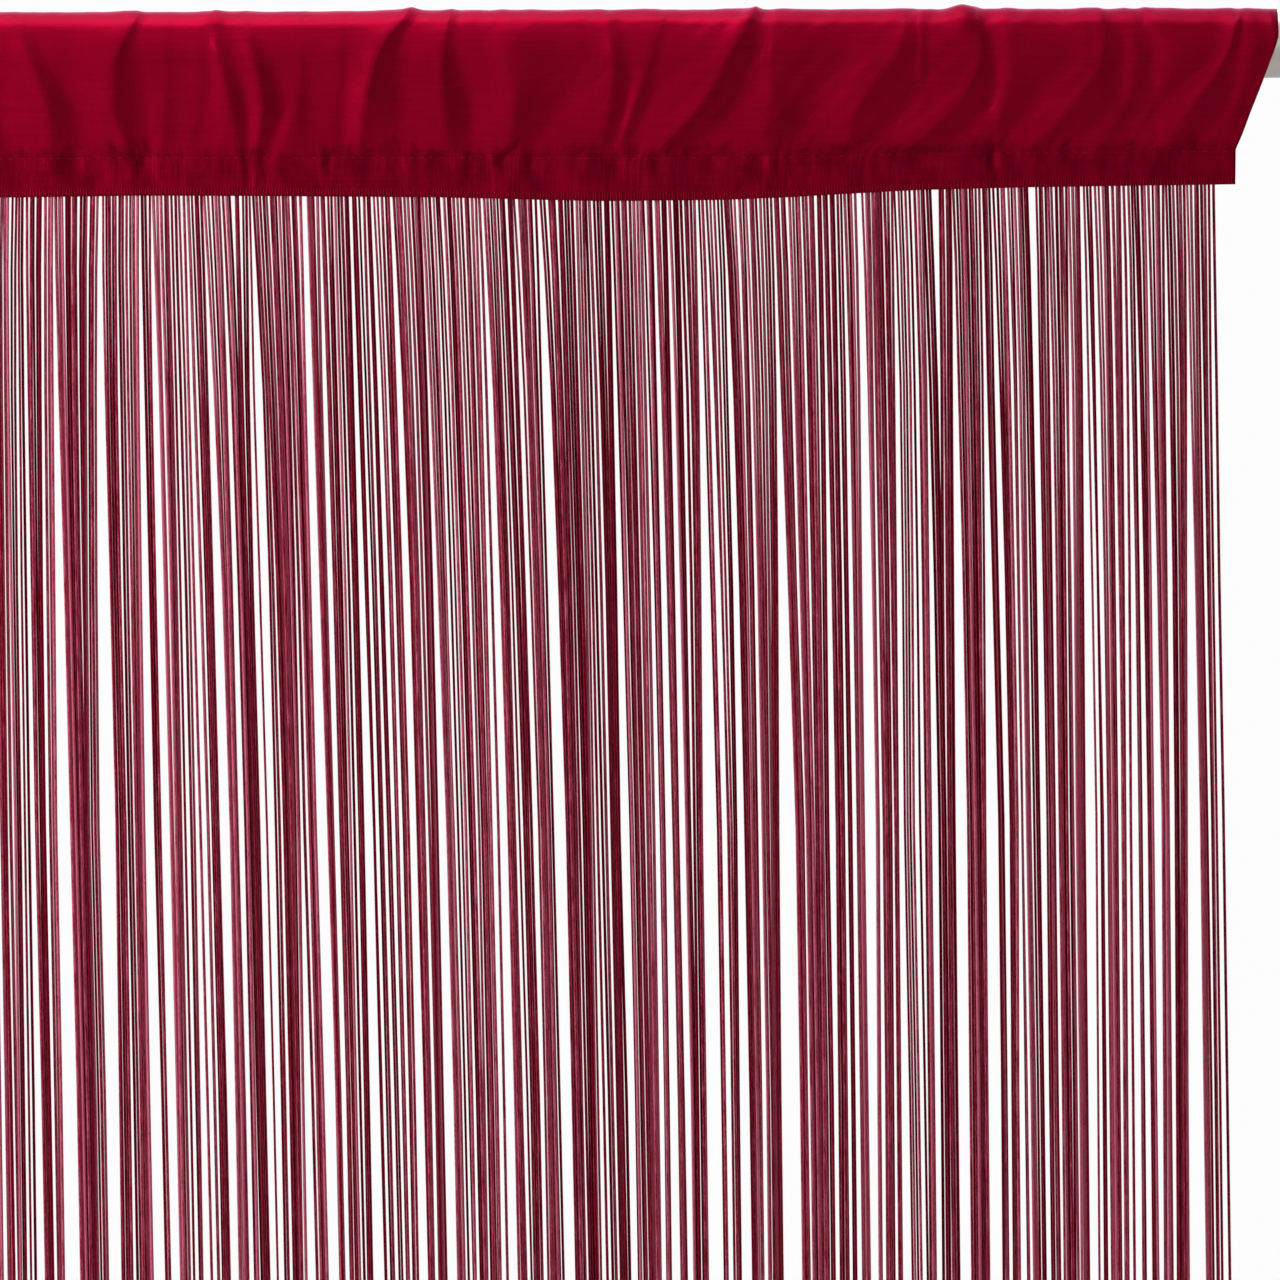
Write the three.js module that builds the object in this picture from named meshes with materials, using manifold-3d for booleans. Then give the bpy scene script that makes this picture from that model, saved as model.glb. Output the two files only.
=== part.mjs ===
// String curtain on its rod: a gathered cloth heading with a rod pocket, and a fringe of long strands.
// Millimetres, +Z up, the front of the curtain faces -Y. The origin is on the rod's axis, half-way along.

import * as THREE from 'three';
import Module from 'manifold-3d';

const wasm = await Module();
wasm.setup();

// Driving dimensions
const rodDiameter = 28;
const rodLength = 1100;
const rodSides = 32;
const headingWidth = 900;
const seamBelowAxis = 43.3;
const hemBelowAxis = 57.7;
const strandsEndBelowAxis = 1985;
const sheet = 1.4;
const pieceGap = 0.3;
const stripHeight = 4;
const fringeInset = 8.7;
const strandCount = 300;
const strandRadius = 0.88;

// Rows of a table as records with named columns
function table(columns, rows) {
  return rows.map((row) => Object.fromEntries(columns.map((column, i) => [column, row[i]])));
}

// Heights, from the rod's axis, at which the fold table gives each fold's place, width and depth
const foldLevels = { Rod: 13, Shoulder: -2, Middle: -22.7, Seam: -seamBelowAxis };

// The folds of the front, left to right. Each is a crest that stands off the sleeve, with a step down to its
// right: where the crest lies along the curtain, how wide the step is, and how deep.
const foldColumns = [
  'placeRod', 'placeShoulder', 'placeMiddle', 'placeSeam',
  'wideRod', 'wideShoulder', 'wideMiddle', 'wideSeam',
  'deepRod', 'deepShoulder', 'deepMiddle', 'deepSeam',
];
const frontFolds = table(foldColumns, [
  [-86, -84, -83, -81, 6, 8, 8, 8, 0.2, 1.0, 2.0, 3.4],
  [-68, -64, -57, -51, 4, 6, 9, 11, 0.2, 1.2, 3.4, 4.0],
  [-18, -28, -30, -23, 4, 6, 14, 9, 0.8, 3.4, 4.4, 3.2],
  [-6, -7, -8, -9, 2, 3, 4, 5, 0.1, 0.2, 0.6, 2.0],
  [7, 7, 6, 0, 2, 3, 4, 5, 0.1, 0.2, 0.5, 1.2],
  [12, 14, 19, 23, 4, 6, 7, 4, 0.7, 2.4, 3.2, 2.0],
  [23, 28, 34, 28, 5, 7, 9, 7, 0.5, 2.6, 4.0, 3.6],
  [47, 48, 47, 43, 2, 3, 4, 11, 0.1, 0.2, 1.0, 4.4],
  [66, 65, 63, 61, 2, 2, 3, 4, 0.1, 0.2, 0.5, 1.8],
  [92, 79, 74, 71, 5, 7, 16, 19, 1.3, 4.0, 5.0, 4.4],
  [110, 106, 107, 108, 4, 5, 11, 10, 0.5, 2.6, 4.0, 3.4],
  [132, 133, 137, 132, 25, 36, 18, 11, 0.2, 2.6, 4.4, 4.4],
  [173, 177, 176, 170, 5, 8, 7, 6, 0.8, 2.8, 3.0, 3.0],
  [197, 192, 185, 178, 3, 4, 6, 4, 0.1, 1.2, 3.0, 2.4],
  [234, 225, 210, 194, 6, 9, 14, 10, 0.9, 4.0, 5.0, 3.6],
  [242, 242, 239, 235, 3, 4, 4, 5, 0.5, 2.0, 2.6, 3.6],
  [251, 252, 246, 253, 11, 16, 12, 6, 0.2, 2.2, 3.0, 2.4],
  [297, 295, 277, 271, 4, 6, 19, 8, 0.2, 2.4, 4.6, 4.0],
  [304, 304, 303, 288, 7, 10, 3, 3, 0.8, 2.2, 0.8, 0.2],
  [324, 329, 321, 297, 2, 3, 12, 17, 2.2, 1.6, 4.0, 4.6],
  [336, 340, 336, 329, 11, 16, 13, 6, 0.2, 2.4, 3.6, 4.6],
  [377, 380, 374, 348, 2, 3, 4, 15, 0.5, 0.6, 2.0, 3.4],
  [389, 391, 380, 372, 5, 8, 20, 13, 0.3, 1.6, 4.4, 3.6],
  [397, 407, 401, 387, 14, 21, 2, 2, 0.8, 2.8, 0.3, 0.3],
  [431, 431, 417, 397, 2, 3, 14, 15, 0.5, 1.0, 3.6, 4.0],
  [437, 440, 434, 427, 5, 7, 4, 3, 0.3, 2.0, 1.4, 1.2],
]);

// The left third of the heading has the same kind of fold at an uneven pitch
const plainFolds = { count: 15, first: -104, pitch: 22, sway: 4, wide: 9, deep: 3.6 };

// How far the heading's right end is drawn in, by height; the left end is drawn in by a share of that
const drawnIn = table(['height', 'inset'], [
  [2, 0], [-5, 2.3], [-16, 6.4], [-28, 11], [-38, 14.7], [-43.3, 17.1], [-57.7, 17.3],
]);
const leftEndShare = 0.7;

// How far the hem sags below its height at the right end, along the curtain
const hemSag = table(['place', 'sag'], [
  [-450, 0.5], [-400, 1.5], [-300, 3.5], [-200, 4.6], [-120, 3.6], [-66, 4.1], [27, 3.3],
  [171, 5.5], [249, 4.1], [278, 2.6], [303, 1.5], [348, 0.8], [402, 0.2], [431, 0],
]);
const seamSagShare = 0.3;

// How far the strands lean to the right on their way down, by place along the curtain
const strandLean = table(['place', 'degrees'], [
  [-430, 0.5], [-250, 0.8], [-76, 1.1], [33, 1.7], [155, 1.5],
  [253, 0.6], [336, 0.6], [418, 0.3], [424, 0.7],
]);
const leanReach = 900;

// The wider gaps between strands: place at the hem, and the extra width at each of these depths below it
const gapDepths = { underHem: 0, upper: 105, lower: 250, low: 440 };
const strandGaps = table(['place', 'underHem', 'upper', 'lower', 'low'], [
  [-69, 0, 0, 0.6, 2.5], [-55, 0, 2.1, 4.9, 5.8], [-42, 0, 2.1, 4.9, 3.7], [-32, 0, 1.2, 0.8, 2.1],
  [-23, 0, 0, 0.8, 2.9], [-3, 0, 0, 1.2, 2.9], [7, 0, 1.6, 1.6, 0.8], [21, 1.2, 0, 0, 0],
  [29, 0, 3.7, 2.9, 2.9], [39, 0, 0, 0, 2.9], [48, 2.1, 2.1, 3.3, 4.5], [68, 0, 0, 1.6, 3.3],
  [85, 0, 0, 0, 1.2], [98, 0, 0, 0.8, 2.9], [125, 0, 2.1, 2.9, 4.9], [138, 0, 1.6, 1.6, 2.1],
  [145, 1.2, 3.7, 3.7, 3.7], [163, 0, 0, 0.6, 2.1], [173, 0, 0, 2.1, 1.6], [192, 0, 0, 0.4, 2.1],
  [201, 0, 0, 0.4, 2.1], [210, 0, 0, 2.9, 4.9], [224, 0, 1.6, 1.8, 4.1], [245, 0, 0.8, 5.8, 7.0],
  [263, 0, 0, 1.6, 0.6], [277, 2.1, 1.2, 2.1, 0.8], [293, 0, 0, 0, 2.1], [298, 1.6, 0.8, 2.1, 0.4],
  [305, 0, 0.4, 2.9, 2.1], [312, 2.9, 0.6, 0, 0], [316, 0, 1.2, 4.9, 4.5], [328, 0, 0, 2.9, 3.7],
  [335, 0, 1.2, 1.2, 0.4], [341, 0, 0, 0, 2.1], [351, 1.6, 1.2, 1.2, 1.6], [370, 0, 0, 2.1, 1.2],
  [390, 0, 0, 1.6, 2.1], [399, 0, 0, 1.2, 0.4], [415, 0, 0.4, 2.9, 5.8],
]);
const plainGaps = { count: 24, first: -82, pitch: 14, widest: 4.5 };
const gapReach = 14;

// Depths below the hem at which a strand bends, and how unevenly the strands hang
const strandBends = [150, 440, 1000];
const strandStray = 0.5;
const strandRank = 1.2;
const strandEndStray = 5;
const leastStrandGap = 0.38;

// Value of one column of a table where another column has the given value, on straight lines between rows
function reading(rows, from, to, at) {
  const ordered = [...rows].sort((a, b) => a[from] - b[from]);
  const next = ordered.findIndex((row) => row[from] >= at);
  if (next === 0) return ordered[0][to];
  if (next < 0) return ordered[ordered.length - 1][to];
  const before = ordered[next - 1];
  const after = ordered[next];
  const share = (at - before[from]) / (after[from] - before[from]);
  return before[to] + (after[to] - before[to]) * share;
}

// A steady number from -1 to 1 for each pair of whole numbers, for unevenness that is the same every time
function uneven(index, kind) {
  const wave = Math.sin(index * 12.9898 + kind * 78.233) * 43758.5453;
  return 2 * (wave - Math.floor(wave)) - 1;
}

// Closed body from rings that follow one another; each ring turns clockwise as seen from ahead, and a zigzag
// of triangles closes the first and the last
function loft(rings) {
  const around = rings[0].length;
  const last = (rings.length - 1) * around;
  const triangles = [];
  for (let ring = 0; ring < rings.length - 1; ring += 1) {
    for (let k = 0; k < around; k += 1) {
      const here = ring * around + k;
      const beside = ring * around + ((k + 1) % around);
      triangles.push(here, here + around, beside + around, here, beside + around, beside);
    }
  }
  const closeBoth = (a, b, c) => triangles.push(a, b, c, last + a, last + c, last + b);
  let low = 0;
  let high = around - 1;
  while (high - low > 1) {
    closeBoth(low, low + 1, high);
    low += 1;
    if (high - low > 1) closeBoth(low, high - 1, high);
    high -= 1;
  }
  return new wasm.Manifold(new wasm.Mesh({
    numProp: 3,
    vertProperties: new Float32Array(rings.flat(2)),
    triVerts: new Uint32Array(triangles),
  }));
}

function namedMesh(name, solid, material) {
  const mesh = solid.getMesh();
  const geometry = new THREE.BufferGeometry();
  geometry.setAttribute('position', new THREE.BufferAttribute(new Float32Array(mesh.vertProperties), 3));
  geometry.setIndex(new THREE.BufferAttribute(new Uint32Array(mesh.triVerts), 1));
  geometry.computeVertexNormals();
  const result = new THREE.Mesh(geometry, material);
  result.name = name;
  return result;
}

// Folds of the left third, from the same columns as the table
function plainFold(index) {
  const crest = plainFolds.first - plainFolds.pitch * index;
  const share = 1 + 0.25 * Math.sin(2.7 * index);
  const { sway, wide } = plainFolds;
  const deep = plainFolds.deep * share;
  return {
    placeRod: crest + sway * Math.sin(1.3 * index),
    placeShoulder: crest,
    placeMiddle: crest + sway * Math.sin(0.9 * index + 1),
    placeSeam: crest + sway * Math.sin(1.7 * index + 2),
    wideRod: 0.4 * wide,
    wideShoulder: 0.6 * wide,
    wideMiddle: wide * share,
    wideSeam: wide,
    deepRod: 0.1 * deep,
    deepShoulder: 0.6 * deep,
    deepMiddle: deep,
    deepSeam: 0.8 * deep,
  };
}

// One measure of a fold at a height, between the levels of the table
function foldMeasure(fold, measure, height) {
  const levels = Object.entries(foldLevels).map(([level, at]) => ({ at, value: fold[measure + level] }));
  return reading(levels, 'at', 'value', height);
}

// A line runs down the heading. It knows its place at any height, how far the sleeve stands off there, and
// how far the doubled band below the seam sways to the front. Each fold has two, its crest and its trough.
function foldLines(fold) {
  const place = (height) => foldMeasure(fold, 'place', height);
  const wide = (height) => foldMeasure(fold, 'wide', height);
  const deep = (height) => foldMeasure(fold, 'deep', height);
  const foot = (height) => place(height) + wide(height);
  const sway = 0.5 * fold.deepSeam;
  return [{ place, lift: deep, sway }, { place: foot, lift: () => 0, sway: -sway }];
}

function endLine(side, share) {
  const place = (height) => side * (headingWidth / 2 - share * reading(drawnIn, 'height', 'inset', height));
  return { place, lift: () => 0, sway: 0 };
}

const hiddenFolds = Array.from({ length: plainFolds.count }, (_, i) => plainFold(plainFolds.count - 1 - i));
const lines = [
  endLine(-1, leftEndShare),
  ...[...hiddenFolds, ...frontFolds].flatMap(foldLines),
  endLine(1, 1),
];

// Section of the sleeve: it wraps the rod at these angles from the top, then falls straight to the seam
const wrapAngles = [108, 84, 60, 36, 12].map((angle) => THREE.MathUtils.degToRad(angle));
const wrapStep = wrapAngles[0] - wrapAngles[1];
const wrapRadius = (rodDiameter / 2 + pieceGap) / Math.cos(wrapStep / 2) + sheet;
const fallShares = [0.86, 0.6, 0.3];
const bandSwayShare = 0.6;
const pocketFloorAboveSeam = 2.2;
const pocketFloorHalfWidth = 0.4;
const cutPastEnds = 5;

const hemHeight = (place) => -hemBelowAxis - reading(hemSag, 'place', 'sag', place);
const seamHeight = (place) => -seamBelowAxis - seamSagShare * reading(hemSag, 'place', 'sag', place);

// The folds of the back lie a little to the side of those of the front, and are shallower in places
const fadeToEnds = (place) => Math.min(1, (headingWidth / 2 - Math.abs(place)) / 60) ** 2;
const backDrift = (place) => 6 * Math.sin(place / 37) * fadeToEnds(place);
const backShare = (place) => 0.8 + 0.2 * Math.sin(place / 53);

// Points up one side of the section, plain: how far out, the height, the outward direction, and how far the
// layers are joined there, from 0 on the rod to 1 at the seam
function sectionPoints(place) {
  const leave = wrapAngles[0];
  const start = [wrapRadius * Math.sin(leave), wrapRadius * Math.cos(leave)];
  const fall = [sheet - start[0], seamHeight(place) - start[1]];
  const length = Math.hypot(...fall);
  const straight = fallShares.map((share) => ({
    out: start[0] + fall[0] * share,
    height: start[1] + fall[1] * share,
    outward: [-fall[1] / length, fall[0] / length],
    joined: share * share,
  }));
  const wrapped = wrapAngles.map((angle) => ({
    out: wrapRadius * Math.sin(angle),
    height: wrapRadius * Math.cos(angle),
    outward: [Math.sin(angle), Math.cos(angle)],
    joined: 0,
  }));
  return [...straight, ...wrapped];
}

// A section point on one line, on the front (side -1) or the back (side 1), moved inwards by a thickness
function sleevePoint(line, side, point, inwards) {
  const free = 1 - point.joined;
  const place = line.place(point.height);
  const share = side > 0 ? backShare(place) : 1;
  const drift = side > 0 ? backDrift(place) * free : 0;
  const off = line.lift(point.height) * free * share - inwards;
  return [
    place + drift,
    side * (point.out + off * point.outward[0]) - line.sway * point.joined,
    point.height + off * point.outward[1],
  ];
}

// Up the front and down the back of the sleeve
function sleeveSection(line, inwards) {
  const points = sectionPoints(line.place(-hemBelowAxis));
  const front = points.map((point) => sleevePoint(line, -1, point, inwards));
  const back = points.map((point) => sleevePoint(line, 1, point, inwards));
  return [...front, ...back.reverse()];
}

function bandPoint(line, side, height, swayShare) {
  return [line.place(height), side * sheet - line.sway * swayShare, height];
}

function headingRing(line) {
  const place = line.place(-hemBelowAxis);
  const seam = seamHeight(place);
  const edge = hemHeight(place) + stripHeight + pieceGap;
  return [
    bandPoint(line, -1, edge, bandSwayShare),
    bandPoint(line, -1, seam, 1),
    ...sleeveSection(line, 0),
    bandPoint(line, 1, seam, 1),
    bandPoint(line, 1, edge, bandSwayShare),
  ];
}

function pocketRing(line, shift) {
  const floor = seamHeight(line.place(-hemBelowAxis)) + pocketFloorAboveSeam;
  const floorPoint = (side) => [line.place(floor), side * pocketFloorHalfWidth - line.sway, floor];
  const ring = [floorPoint(-1), ...sleeveSection(line, sheet), floorPoint(1)];
  return ring.map(([x, y, z]) => [x + shift, y, z]);
}

// The cloth heading: the whole section, less the pocket that runs through from end to end
function makeHeading() {
  const pocketRings = [
    pocketRing(lines[0], -cutPastEnds),
    ...lines.map((line) => pocketRing(line, 0)),
    pocketRing(lines[lines.length - 1], cutPastEnds),
  ];
  return loft(lines.map(headingRing)).subtract(loft(pocketRings));
}

// Strip under the heading's lower edge, into which the strands are sewn
function makeStrip() {
  const ring = (line) => {
    const bottom = hemHeight(line.place(-hemBelowAxis));
    const top = bottom + stripHeight;
    return [
      bandPoint(line, -1, bottom, bandSwayShare),
      bandPoint(line, -1, top, bandSwayShare),
      bandPoint(line, 1, top, bandSwayShare),
      bandPoint(line, 1, bottom, bandSwayShare),
    ];
  };
  return loft(lines.map(ring));
}

// Gap of the left third, from the same columns as the table
function plainGap(index) {
  const low = plainGaps.widest * (0.6 + 0.4 * uneven(index, 7));
  const place = plainGaps.first - plainGaps.pitch * index + 4 * uneven(index, 8);
  return { place, underHem: 0, upper: 0.3 * low, lower: 0.7 * low, low };
}

const allGaps = [...strandGaps, ...Array.from({ length: plainGaps.count }, (_, i) => plainGap(i))];

function gapWidth(gap, depth) {
  const widths = Object.entries(gapDepths).map(([name, at]) => ({ at, width: gap[name] }));
  return reading(widths, 'at', 'width', depth);
}

// Pushes neighbours apart, sweep after sweep, until each pair is the least distance apart
function spreadApart(places, least) {
  const spread = [...places];
  const sweeps = 400;
  for (let sweep = 0; sweep < sweeps; sweep += 1) {
    for (let i = 1; i < spread.length; i += 1) {
      const short = Math.max(0, least - (spread[i] - spread[i - 1]));
      spread[i - 1] -= 0.5 * short;
      spread[i] += 0.5 * short;
    }
  }
  return spread;
}

// Places of all strands at a depth below the hem: each leans, and is pushed aside by the gaps near it
function strandPlaces(roots, depth) {
  const widths = allGaps.map((gap) => gapWidth(gap, depth));
  const fallen = leanReach * (1 - Math.exp(-depth / leanReach));
  const stray = strandStray * Math.min(1, depth / gapDepths.upper);
  const places = roots.map((root, index) => {
    const lean = fallen * Math.tan(THREE.MathUtils.degToRad(reading(strandLean, 'place', 'degrees', root)));
    const pushes = allGaps.map((gap, i) => {
      const away = root - gap.place;
      return 0.5 * Math.sign(away) * widths[i] * Math.max(0, 1 - Math.abs(away) / gapReach);
    });
    return root + lean + pushes.reduce((sum, push) => sum + push, 0) + stray * uneven(index, 1);
  });
  const strandWidth = 2 * strandRadius * Math.cos(Math.PI / 6);
  return spreadApart(places, strandWidth + leastStrandGap);
}

// Three-sided section of a strand, one edge to the front
function strandRing(x, y, z) {
  const corners = [-90, 30, 150].map((angle) => THREE.MathUtils.degToRad(angle));
  return corners.map((turn) => [x + strandRadius * Math.cos(turn), y + strandRadius * Math.sin(turn), z]);
}

function makeFringe() {
  const leftmost = lines[0].place(-hemBelowAxis) + fringeInset;
  const rightmost = lines[lines.length - 1].place(-hemBelowAxis) - fringeInset;
  const pitch = (rightmost - leftmost) / (strandCount - 1);
  const roots = Array.from({ length: strandCount }, (_, i) => leftmost + i * pitch);
  const depths = [0, ...strandBends, strandsEndBelowAxis - hemBelowAxis];
  const placesAt = depths.map((depth) => strandPlaces(roots, depth));
  const bandMiddle = lines.map((line) => ({
    place: line.place(-hemBelowAxis),
    y: -bandSwayShare * line.sway,
  }));
  const strands = roots.map((root, index) => {
    const hem = hemHeight(root);
    const rootY = reading(bandMiddle, 'place', 'y', root);
    const rank = index % 2 === 0 ? strandRank : -strandRank;
    const heights = [
      hem + 0.5 * stripHeight,
      ...strandBends.map((depth) => hem - depth),
      strandEndStray * uneven(index, 3) - strandsEndBelowAxis,
    ];
    const rings = heights.map((z, level) => {
      const free = 1 - Math.exp(-depths[level] / strandBends[0]);
      const y = rootY * (1 - free) + (rank + uneven(index, level)) * free;
      return strandRing(placesAt[level][index], y, z);
    });
    return loft(rings);
  });
  return wasm.Manifold.union([makeStrip(), ...strands]);
}

const cloth = new THREE.MeshStandardMaterial({ color: 0x86102c, roughness: 0.42, metalness: 0 });
const yarn = new THREE.MeshStandardMaterial({ color: 0x5c1420, roughness: 0.7, metalness: 0 });
const steel = new THREE.MeshStandardMaterial({ color: 0xa49c98, roughness: 0.35, metalness: 0.9 });

const rod = new THREE.Mesh(
  new THREE.CylinderGeometry(rodDiameter / 2, rodDiameter / 2, rodLength, rodSides),
  steel,
);
rod.name = 'rod';
rod.rotation.z = Math.PI / 2;

const curtain = new THREE.Group();
curtain.add(rod);
curtain.add(namedMesh('heading', makeHeading(), cloth));
curtain.add(namedMesh('string_fringe', makeFringe(), yarn));

export default curtain;
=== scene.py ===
"""String curtain on its rod: cloth heading, strings, sewing and rod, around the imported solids.

Metres, +Z up, the front of the curtain faces -Y, and the origin is on the rod's axis, half-way along. Every
shape is worked out in numpy over two parameters, and a function's docstring gives its formula in words.
"""

from types import SimpleNamespace

import bpy
import numpy as np
from bpy.props import FloatProperty, FloatVectorProperty, IntProperty, PointerProperty
from bpy.types import Operator, Panel, PropertyGroup
from mathutils import Euler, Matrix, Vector


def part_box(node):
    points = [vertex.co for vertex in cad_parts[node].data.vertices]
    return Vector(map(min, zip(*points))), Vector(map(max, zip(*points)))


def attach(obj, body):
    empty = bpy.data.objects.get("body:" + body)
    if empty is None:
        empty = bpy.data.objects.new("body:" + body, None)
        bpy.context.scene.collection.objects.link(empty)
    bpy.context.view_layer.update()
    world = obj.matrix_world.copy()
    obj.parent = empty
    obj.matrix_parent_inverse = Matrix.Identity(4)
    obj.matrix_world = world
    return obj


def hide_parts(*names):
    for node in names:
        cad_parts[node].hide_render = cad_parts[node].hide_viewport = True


bl_info = {
    "name": "String curtain",
    "version": (1, 0, 0),
    "blender": (4, 5, 0),
    "location": "3D View > Sidebar > Curtain",
    "description": "Gathered cloth heading on a rod, with a long fringe of strings",
    "category": "Object",
}

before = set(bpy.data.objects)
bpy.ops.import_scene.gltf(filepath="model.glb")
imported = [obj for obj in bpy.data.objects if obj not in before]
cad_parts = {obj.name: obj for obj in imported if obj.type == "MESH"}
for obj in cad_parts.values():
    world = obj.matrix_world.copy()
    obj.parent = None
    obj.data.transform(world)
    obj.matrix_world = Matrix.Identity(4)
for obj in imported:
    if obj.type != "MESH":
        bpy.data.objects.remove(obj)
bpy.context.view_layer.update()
ROD_LOW, ROD_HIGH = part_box("rod")
ROD_RADIUS = ROD_HIGH.z
HALF_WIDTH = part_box("heading")[1].x
STRINGS_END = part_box("string_fringe")[0].z
MM = 0.001

# Heights of the fold table, the finer heights at which folds are worked out, and how softly they turn
FOLD_LEVELS = np.array([13, -2, -22.7, -43.3]) * MM
FINE_LEVELS = np.arange(-60, 18, 1.5) * MM
LEVEL_SOFTNESS = 4.5 * MM

# The folds of the front, left to right, each a crest with a step down to its right: the crest's place at the
# four heights, then the step's width at them, then its depth
FOLDS = np.array([
    [-86, -84, -83, -81, 6, 8, 8, 8, 0.2, 1, 2, 3.4],
    [-68, -64, -55.5, -54, 4, 6, 10, 12, 0.2, 1.2, 3.8, 4.8],
    [-18, -28, -30, -23, 4, 6, 14, 9, 0.8, 3.4, 4.6, 4],
    [-6, -7, -8, -9, 2, 3, 4, 5, 0.1, 0.2, 0.6, 2],
    [7, 7, 6, 0, 2, 3, 4, 5, 0.1, 0.2, 0.5, 1.2],
    [12, 14, 19, 22, 4, 6, 7, 4, 0.3, 1.1, 3.2, 2.2],
    [23, 28, 33, 29, 5, 7, 8, 5, 0.3, 2.5, 4.4, 3.4],
    [47, 48, 47, 40, 2, 3, 5, 14, 0.1, 0.2, 1.3, 3.4],
    [66, 65, 63, 61, 2, 2, 3, 4, 0.1, 0.2, 0.5, 1.8],
    [93, 79, 74, 71, 5, 7, 16, 19, 0.9, 3.8, 5, 4.4],
    [110, 106, 107, 108, 4, 5, 11, 10, 0.5, 2.6, 4, 3.4],
    [132, 133, 137, 132, 25, 36, 18, 11, 0.2, 2.6, 4.8, 4.6],
    [173, 177, 176, 170, 5, 8, 7, 6, 0.5, 2.2, 3, 3.2],
    [197, 192, 185, 178, 3, 4, 6, 4, 0.1, 1.2, 3.2, 2.6],
    [236, 225.5, 214, 194.5, 3, 9, 10, 12, 0.9, 4.2, 5.4, 4.6],
    [243, 242, 241.5, 236, 20, 32, 19, 14, 0.2, 1.8, 3.8, 4.2],
    [297, 295, 277, 271, 4, 12, 25, 9, 0.2, 2.6, 5.2, 4.6],
    [324, 329, 321, 296, 4, 4, 12, 17, 0.8, 1.8, 4.4, 5],
    [336, 340, 337, 329, 14, 24, 13, 6, 1, 2.5, 2.6, 4.2],
    [377, 380, 367, 348, 5, 7, 18, 18, 0.5, 2, 4.4, 4.2],
    [389, 391, 389, 374, 5, 8, 8, 11, 0.3, 1.4, 1, 3],
    [397, 407, 401, 387, 14, 21, 2, 2, 0.8, 2.8, 0.3, 0.3],
    [431, 431, 417, 401, 4, 3, 14, 15, 0.5, 1, 4.2, 4.4],
    [437, 440, 434, 427, 5, 7, 4, 3, 0.3, 2, 1.4, 1.2],
]) * MM

# How late the cloth rises on its way to a crest, at the same heights, as a power
RISE_POWERS = np.array([3, 1.4, 1.1, 1])
# How much steeper a step is at its crest than over its whole width
STEP_POWER = 1.6

# The left third of the heading has the same kind of fold at an uneven pitch
PLAIN_FOLDS = SimpleNamespace(
    count=15, first=-104 * MM, pitch=22 * MM, sway=4 * MM, wide=9 * MM, deep=3.6 * MM,
    wide_shares=[0.4, 0.6, 1, 1], deep_shares=[0.1, 0.6, 1, 0.8], swell=0.25, swell_rate=2.7,
    sway_rates=[1.3, 0, 0.9, 1.7], sway_starts=[0, 0, 1, 2],
)

# How far the heading's right end is drawn in: height, inset. The left end is drawn in by a share of that.
DRAWN_IN = np.array([
    [-57.7, 17.3], [-43.3, 17.1], [-38, 14.7], [-28, 11], [-16, 6.4], [-5, 2.3], [2, 0],
]) * MM
LEFT_END_SHARE = 0.7

# Heights of the seam and the hem at the right end, and the hem's sag along the curtain: place, sag
SEAM_HEIGHT = -43.3 * MM
HEM_HEIGHT = -57.7 * MM
HEM_SAG = np.array([
    [-450, 0.5], [-400, 1.5], [-300, 3.5], [-200, 4.4], [-120, 3.4], [-66, 3.4], [-18, 2.9], [27, 3.2],
    [105, 4.1], [171, 5.9], [222, 5.6], [249, 4.6], [278, 3], [303, 1.8], [348, 0.9], [402, 0.3], [431, 0],
]) * MM
SEAM_SAG_SHARE = 0.3

# Single creases on the front: place and height of the upper end and of the lower end, height of the crease
# itself, and its half width
CREASES = np.array([
    [303.4, 14, 303.4, -32, 0.5, 1.2],
    [238, 18, 224, 2, 0.45, 1.1],
    [13, 22, 13, 9, 0.9, 4.5],
    [94.6, 22, 92, 10, 0.9, 3.4],
    [319.6, 22, 320.3, 3, 2.2, 4.8],
    [376.5, 14, 376.9, -22, 0.5, 1],
    [397, -4, 400.5, -40, -0.5, 1.4],
    [-40.5, -20, -35.5, -21.5, 0.3, 0.8],
    [396.5, 14, 400, 3, 0.6, 1.3],
    [411, 14, 413, 5, 0.4, 1.1],
    [435, 14, 430.5, 0, 0.6, 1.3],
    [331, -22, 333.3, -51, -1, 1.6],
    [138, -39, 127, -49, -0.7, 1.5],
]) * MM
# How long a crease takes to start and to end
CREASE_EASE = 5 * MM
# Slanting wrinkles, which grow to the right
SLANT_WRINKLES = SimpleNamespace(
    deep=0.42 * MM, wide=5 * MM, long=30 * MM, slant=1.1, start=20 * MM, full=260 * MM,
)

# Hollows in the band: place, half width, depth, then how far under the stitches they lie, and how high
HOLLOWS = np.array([
    [-45.6, 4.5, 1.7], [-18, 3, 1.3], [33, 3.5, 1.3], [47.1, 5, 1.7], [59, 2, 0.9], [76, 6, 1.6],
    [105.2, 3.5, 1.5], [132, 5.5, 1.7], [143, 2.5, 1.2], [176.9, 5, 1.8], [194.6, 4, 1.6], [217.2, 3, 1.3],
    [237, 3, 1.5], [270, 6.5, 1.8], [301.7, 6, 1.6], [331, 2.5, 1.6], [366, 4, 1.2], [410, 4, 1.2],
]) * MM
HOLLOWS_UNDER = 1.5 * MM
HOLLOWS_HALF_HEIGHT = 5 * MM
# How much looser than elsewhere the sleeve sits on the rod: place, extra air
SLACK = np.array([
    [-60, 0], [-30, -0.2], [60, 0], [100, 0.2], [210, 0.1], [300, 0], [360, -0.35], [440, -0.35],
]) * MM

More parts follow.
